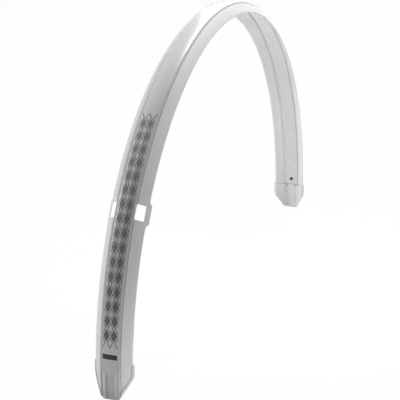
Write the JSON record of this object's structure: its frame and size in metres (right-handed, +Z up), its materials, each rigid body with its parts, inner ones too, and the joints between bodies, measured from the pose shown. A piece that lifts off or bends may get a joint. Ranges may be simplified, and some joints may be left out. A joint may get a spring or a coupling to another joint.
{
  "type": "bicycle mudguard",
  "caption": "Rear bicycle mudguard: an arched aluminium strip gripped by flared white plastic sides, with tapered end caps, stay slots and a threaded fixing near its front end.",
  "frame": {"origin": "on the axis of the front threaded insert, where its thread begins", "axes": "+X forwards along the arch's chord, from its rear end to its front end; +Y to the left across the guard; +Z up"},
  "size_m": [0.7201, 0.0494, 0.3835],
  "materials": {
    "strip": "pale silver-white lacquer, glossy",
    "side_plastic": "white, satin",
    "cap_plastic": "white, fine matt",
    "insert_metal": "zinc plated"
  },
  "bodies": {
    "root": {"centre_strip": "strip", "left_side_profile": "side_plastic", "right_side_profile": "side_plastic", "rear_end_cap": "cap_plastic", "front_end_cap": "cap_plastic", "front_threaded_insert": "insert_metal"}
  },
  "joints": []
}
